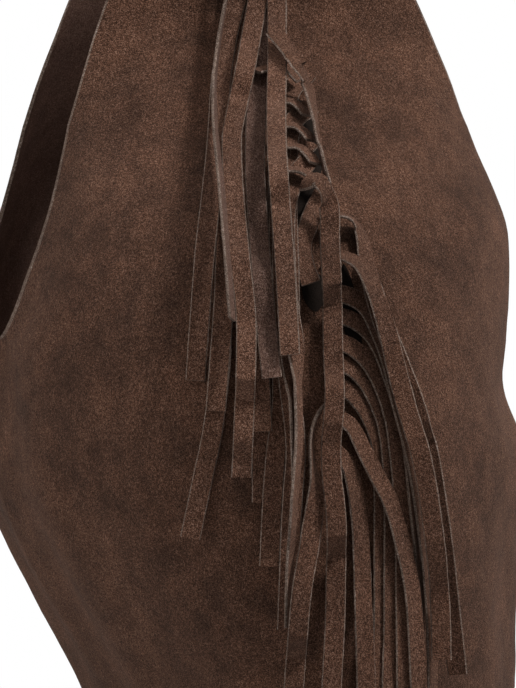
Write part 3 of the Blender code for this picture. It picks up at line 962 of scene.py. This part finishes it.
    def _lay(self, lace: Lace, seed: int) -> None:
        """Lay one lace and make its mesh.

        Args:
            lace: the lace.
            seed: seed of its small unevenness.
        """
        strip = Strip(lace, self.step, seed * self.noise_step, self._curve(lace.points))
        tree = kdtree.KDTree(max(len(self.laid), 1))
        for index, (place, _) in enumerate(self.laid):
            tree.insert(place, index)
        tree.balance()
        strip.lifts = [0.0] * len(strip.drawn)
        for _ in range(self.rounds):
            self._seat(strip)
            self._turn(strip)
            tops = self._settle(self._support(strip, tree))
            strip.lifts = [top + self._stand_off(strip, i) for i, top in enumerate(tops)]
        self._seat(strip)
        self._mesh(lace, self._sweep(strip))

    def _sweep(self, strip: Strip) -> list:
        """Points of the lace's skin. Its own top joins what later laces rest on.

        Args:
            strip: the lace.

        Returns:
            The rings of points.
        """
        rings = []
        half = strip.lace.width / 2
        thick = self.thickness / 2
        for i, ((place, out, wide), lift, angle) in enumerate(zip(strip.line, strip.lifts, strip.angles)):
            sway = strip.wave(Wave.SWAY, i) * self.sway
            fray = strip.wave(Wave.FRAY, i) * self.bevel / 2
            cup = self.cup * (self.cup_mean + strip.wave(Wave.CUP, i))
            turn_wide = wide * math.cos(angle) + out * math.sin(angle)
            turn_out = out * math.cos(angle) - wide * math.sin(angle)
            middle = place + out * (lift + thick) + wide * sway
            ring = []
            for sign, order in ((1, self.spread), (-1, self.spread[::-1])):
                ring += [middle + turn_wide * share * (half - self.bevel)
                         + turn_out * (sign * thick + cup * share * share) for share in order]
                ring.append(middle + turn_wide * (sign * half + fray) + turn_out * cup)
            rings.append(ring)
            for share in self.shares:
                high = lift + self.thickness + share * half * math.sin(angle) + cup * share * share
                self.laid.append((place + wide * half * math.cos(angle) * share, high))
        return rings

    def _mesh(self, lace: Lace, rings: list) -> None:
        """Join the rings of a lace.

        Args:
            lace: the lace.
            rings: its rings of points.
        """
        size = len(rings[0])
        count = len(self.spread)
        band = [OUTER if k < count - 1 else INNER if count < k < 2 * count else EDGE for k in range(size)]
        last = (len(rings) - 1) * size
        faces = [tuple(range(size)), *(face[::-1] for face in tube_faces(size, len(rings))),
                 tuple(last + k for k in reversed(range(size)))]
        slots = [EDGE, *band * (len(rings) - 1), EDGE]
        # braid strips take the darker copy of the lace suede, painted shade for their self-shadow
        nap = self.finishes.braid if lace.node.startswith("braid") else self.finishes.lace
        flesh = self.finishes.lace_flesh
        skins = [nap, flesh] if lace.show is Show.NAP else [flesh, nap]
        points = [point for ring in rings for point in ring]
        piece = add_mesh("lace_" + lace.node, points, faces, slots, skins + [self.finishes.edge])
        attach(piece, "root")
        if not lace.drawn_only:
            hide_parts(lace.node)

    def build(self, panels: list) -> None:
        """Lay every lace.

        Args:
            panels: the hide panels that they rest on.
        """
        points: list = []
        faces: list = []
        for panel in panels:
            start = len(points)
            points += panel.outer
            faces += [tuple(start + index for index in face) for face in panel.outer_faces]
        self.hide = BVHTree.FromPolygons(points, faces)
        # near-black patches of painted shade over the braid's cuts and the gaps beside its arcs, laid before the
        # laces
        SlitShade(self.finishes).build(self.hide)
        for seed, lace in enumerate(LACES):
            self._lay(lace, seed)
            log.info("lace %s", lace.node)


@dataclass(frozen=True)
class Slit:
    """A cut in the hide that a lace is drawn through, drawn as a near-black patch of painted shade: middle, half
    sizes in millimetres and lean in degrees.
    """

    across: float
    down: float
    half_width: float
    half_height: float
    lean: float = 0.0


@dataclass
class SlitShade:
    """The open cuts of the braid and the deep gaps beside its arcs, as near-black lens shapes on the hide: painted
    shade that stands in for the shadow in them.
    """

    finishes: Finishes
    proud: float = 0.00045
    steps: int = 20
    rings: int = 3
    end_round: float = 0.4
    probe_height: float = 0.02
    cuts: tuple = (
        Slit(-28.0, 36.0, 3.6, 5.0, 10.0),
        Slit(-16.5, 54.0, 6.0, 20.0, 20.0),
        Slit(-14.5, 80.0, 5.0, 9.0, -4.0),
        Slit(-11.4, 117.0, 4.8, 8.0, 2.0),
        Slit(3.0, 128.0, 3.4, 22.0, 8.0),
    )

    def build(self, hide: BVHTree) -> None:
        """Make the cuts.

        Args:
            hide: the hide's outer faces.
        """
        points: list = []
        faces: list = []
        for cut in self.cuts:
            start = len(points)
            lean = math.radians(cut.lean)
            for ring in range(self.rings + 1):
                share = ring / self.rings
                for step in range(self.steps if ring else 1):
                    turn = 2 * math.pi * step / self.steps
                    wide = cut.half_width * math.cos(turn) * abs(math.cos(turn)) ** self.end_round * share
                    tall = cut.half_height * math.sin(turn) * share
                    across = cut.across + wide * math.cos(lean) + tall * math.sin(lean)
                    down = cut.down + tall * math.cos(lean) - wide * math.sin(lean)
                    place, out = SHAPE.on_bag(across * MM, down * MM)
                    hit, _, _, _ = hide.ray_cast(place + out * self.probe_height, -out, self.probe_height * 2)
                    points.append((place if hit is None else hit) + out * self.proud)
            first = start + 1
            faces += [(start, first + (step + 1) % self.steps, first + step) for step in range(self.steps)]
            faces += [tuple(first + index for index in face) for face in tube_faces(self.steps, self.rings)]
        # one mesh of painted shade patches in the near-black slit_shade finish
        piece = add_mesh("braid_slit_shade", points, faces, [0] * len(faces), [self.finishes.dark])
        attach(piece, "root")
        log.info("slits: %d", len(self.cuts))


@dataclass
class Strap:
    """The shoulder strap: a double band over the top."""

    finishes: Finishes
    width: float = 0.046
    thickness: float = 0.003
    lap: float = 0.032
    top: float = 0.550
    bow: float = 0.010
    panel: float = 0.0014
    fit: float = 0.0003
    steps: int = 150
    lead: int = 14
    across: int = 12
    arch_power: float = 0.5
    edge_thin: float = 0.35
    edge_power: int = 6

    def _path(self) -> list:
        """Middle line from the near arm over the top to the far arm.

        Returns:
            The points.
        """
        arm_top = SHAPE.arm_top.height
        foot = SHAPE.arm.seam - self.panel - self.fit - self.thickness / 2
        arch = self.top - self.thickness / 2 - arm_top
        low = arm_top - self.lap
        points = [Vector((foot, 0.0, low + self.lap * k / self.lead)) for k in range(self.lead)]
        for step in range(self.steps + 1):
            turn = math.pi * step / self.steps
            bow = self.bow * math.sin(turn) ** 2 * math.cos(turn)
            reach = foot * math.copysign(abs(math.cos(turn)) ** self.arch_power, math.cos(turn))
            points.append(Vector((reach + bow, 0.0, arm_top + arch * math.sin(turn))))
        points += [Vector((-foot, 0.0, arm_top - self.lap * k / self.lead)) for k in range(1, self.lead + 1)]
        return points

    def build(self) -> None:
        """Make the strap."""
        path = self._path()
        points: list = []
        half = self.thickness / 2
        shares = [k / self.across * 2 - 1 for k in range(self.across + 1)]
        size = 2 * (self.across + 1)
        for i, place in enumerate(path):
            run = (path[min(i + 1, len(path) - 1)] - path[max(i - 1, 0)]).normalized()
            out = Vector((run.z, 0.0, -run.x))
            for sign, order in ((1, shares), (-1, shares[::-1])):
                for share in order:
                    thin = half * (1.0 - self.edge_thin * abs(share) ** self.edge_power)
                    points.append(place + out * sign * thin + Vector((0.0, share * self.width / 2, 0.0)))
        band = [1 if k in (self.across, size - 1) else 0 for k in range(size)]
        faces = [*tube_faces(size, len(path)), tuple(reversed(range(size))),
                 tuple((len(path) - 1) * size + k for k in range(size))]
        slots = [*band * (len(path) - 1), 1, 1]
        piece = add_mesh("strap_band", points, faces, slots, [self.finishes.hide, self.finishes.edge])
        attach(piece, "root")
        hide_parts("shoulder_strap")
        log.info("strap: %d faces", len(faces))


@dataclass
class Base:
    """The oval bottom: the solid's own shape in suede."""

    finishes: Finishes
    node: str = "base_panel"

    def dress(self) -> None:
        """Give the solid its finish."""
        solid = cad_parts[self.node]
        solid.data.materials.clear()
        solid.data.materials.append(self.finishes.base)
        log.info("base dressed")


@dataclass(frozen=True)
class Lamp:
    """A soft square lamp that faces the bag: angles in degrees, distance and size in metres, power in watts."""

    name: str
    turn: float
    elevation: float
    distance: float
    size: float
    power: float


@dataclass
class Studio:
    """Floor, light and camera."""

    scale: float = 0.0004
    frame_width: int = 516
    frame_height: int = 688
    turn: float = SHAPE.drawing_turn
    elevation: float = 0.0
    distance: float = 8.0
    axis_px: float = 239.0
    floor_px: float = 750.0
    sensor: float = 24.0
    ambient: float = 0.30
    floor_radius: float = 1.1
    floor_drop: float = 0.0002
    floor_corners: int = 96
    floor_white: float = 0.8
    floor_color: tuple = (0.42, 0.42, 0.42, 1.0)
    ambient_color: tuple = (1.0, 0.99, 0.98, 1.0)
    white: tuple = (1.0, 1.0, 1.0, 1.0)
    lamp_aim: float = 0.2
    lamps: tuple = (
        Lamp("key_lamp", 122.0, 44.0, 2.3, 0.5, 43.0),
        Lamp("top_lamp", 80.0, 66.0, 2.3, 0.7, 11.0),
        Lamp("left_lamp", 0.0, 4.0, 2.5, 0.9, 21.0),
    )

    def _toward(self, turn: float, elevation: float) -> Vector:
        """Unit direction from the bag at an azimuth, 0 for the front, and a height angle."""
        flat = math.cos(elevation)
        return Vector((math.sin(turn) * flat, -math.cos(turn) * flat, math.sin(elevation)))

    def camera(self) -> None:
        """Set the camera at the photograph's angle."""
        data = bpy.data.cameras.new("photo_camera")
        camera = bpy.data.objects.new("photo_camera", data)
        bpy.context.scene.collection.objects.link(camera)
        right = Vector((math.cos(self.turn), math.sin(self.turn), 0.0))
        aim = right * (self.frame_width / 2 - self.axis_px) * self.scale
        aim.z = (self.floor_px - self.frame_height / 2) * self.scale
        toward = self._toward(self.turn, self.elevation)
        camera.location = aim + toward * self.distance
        camera.rotation_euler = toward.to_track_quat("Z", "Y").to_euler()
        data.sensor_fit = "VERTICAL"
        data.sensor_height = self.sensor
        data.lens = self.sensor * self.distance / (self.frame_height * self.scale)
        bpy.context.scene.camera = camera

    def light(self, lamp: Lamp) -> None:
        """Add a lamp.

        Args:
            lamp: its place, size and power.
        """
        data = bpy.data.lights.new(lamp.name, "AREA")
        data.shape = "SQUARE"
        data.size = lamp.size
        data.energy = lamp.power
        made = bpy.data.objects.new(lamp.name, data)
        toward = self._toward(math.radians(lamp.turn), math.radians(lamp.elevation))
        made.location = Vector((0.0, 0.0, self.lamp_aim)) + toward * lamp.distance
        made.rotation_euler = toward.to_track_quat("Z", "Y").to_euler()
        bpy.context.scene.collection.objects.link(made)

    @staticmethod
    def _seen(graph: Graph) -> Socket:
        """Share of a backdrop that shows plain white: 1 for what the camera, a gloss or a glass sees.

        Args:
            graph: the material's or world's graph.

        Returns:
            The share.
        """
        camera = graph.node("ShaderNodeLightPath", {}, {}, "Is Camera Ray")
        gloss = graph.node("ShaderNodeLightPath", {}, {}, "Is Glossy Ray")
        glass = graph.node("ShaderNodeLightPath", {}, {}, "Is Transmission Ray")
        either = graph.node("ShaderNodeMath", {"operation": "MAXIMUM"}, {0: camera, 1: gloss})
        return graph.node("ShaderNodeMath", {"operation": "MAXIMUM"}, {0: either, 1: glass})

    def world(self) -> None:
        """White behind the bag, plain soft light on it."""
        graph = Graph("studio_world", bpy.data.worlds)
        bpy.context.scene.world = graph.material
        light = graph.node("ShaderNodeBackground", {}, {"Color": self.ambient_color, "Strength": self.ambient})
        white = graph.node("ShaderNodeBackground", {}, {"Color": self.white, "Strength": 1.0})
        mixed = graph.node("ShaderNodeMixShader", {}, {0: self._seen(graph), 1: light, 2: white})
        graph.surface(mixed, "ShaderNodeOutputWorld")

    def floor(self) -> None:
        """A plain pale floor disc that keeps a soft shadow."""
        count = self.floor_corners
        turns = [2 * math.pi * k / count for k in range(count)]
        ring = [(self.floor_radius * math.cos(turn), self.floor_radius * math.sin(turn), -self.floor_drop)
                for turn in turns]
        graph = Graph("studio_floor")
        matte = graph.node("ShaderNodeBsdfDiffuse", {}, {"Color": self.floor_color})
        white = graph.node("ShaderNodeEmission", {}, {"Color": self.white, "Strength": 1.0})
        share = self._seen(graph) * self.floor_white
        graph.surface(graph.node("ShaderNodeMixShader", {}, {0: share, 1: matte, 2: white}))
        disc = add_mesh("floor_disc", ring, [tuple(range(count))], [0], [graph.material])

    def build(self) -> None:
        """Set up the whole studio."""
        bpy.context.scene.view_settings.view_transform = "Standard"
        self.camera()
        self.world()
        self.floor()
        for lamp in self.lamps:
            self.light(lamp)
        log.info("studio ready")


def main() -> None:
    """Build the bag's looks and the studio."""
    Studio().build()
    finishes = Finishes()
    panels = [HidePanel(finishes, Side.FRONT, "front_panel"), HidePanel(finishes, Side.BACK, "back_panel")]
    for panel in panels:
        panel.build()
    Base(finishes).dress()
    Strap(finishes).build()
    Fringe(finishes).build(panels)


if __name__ == "__main__":
    main()
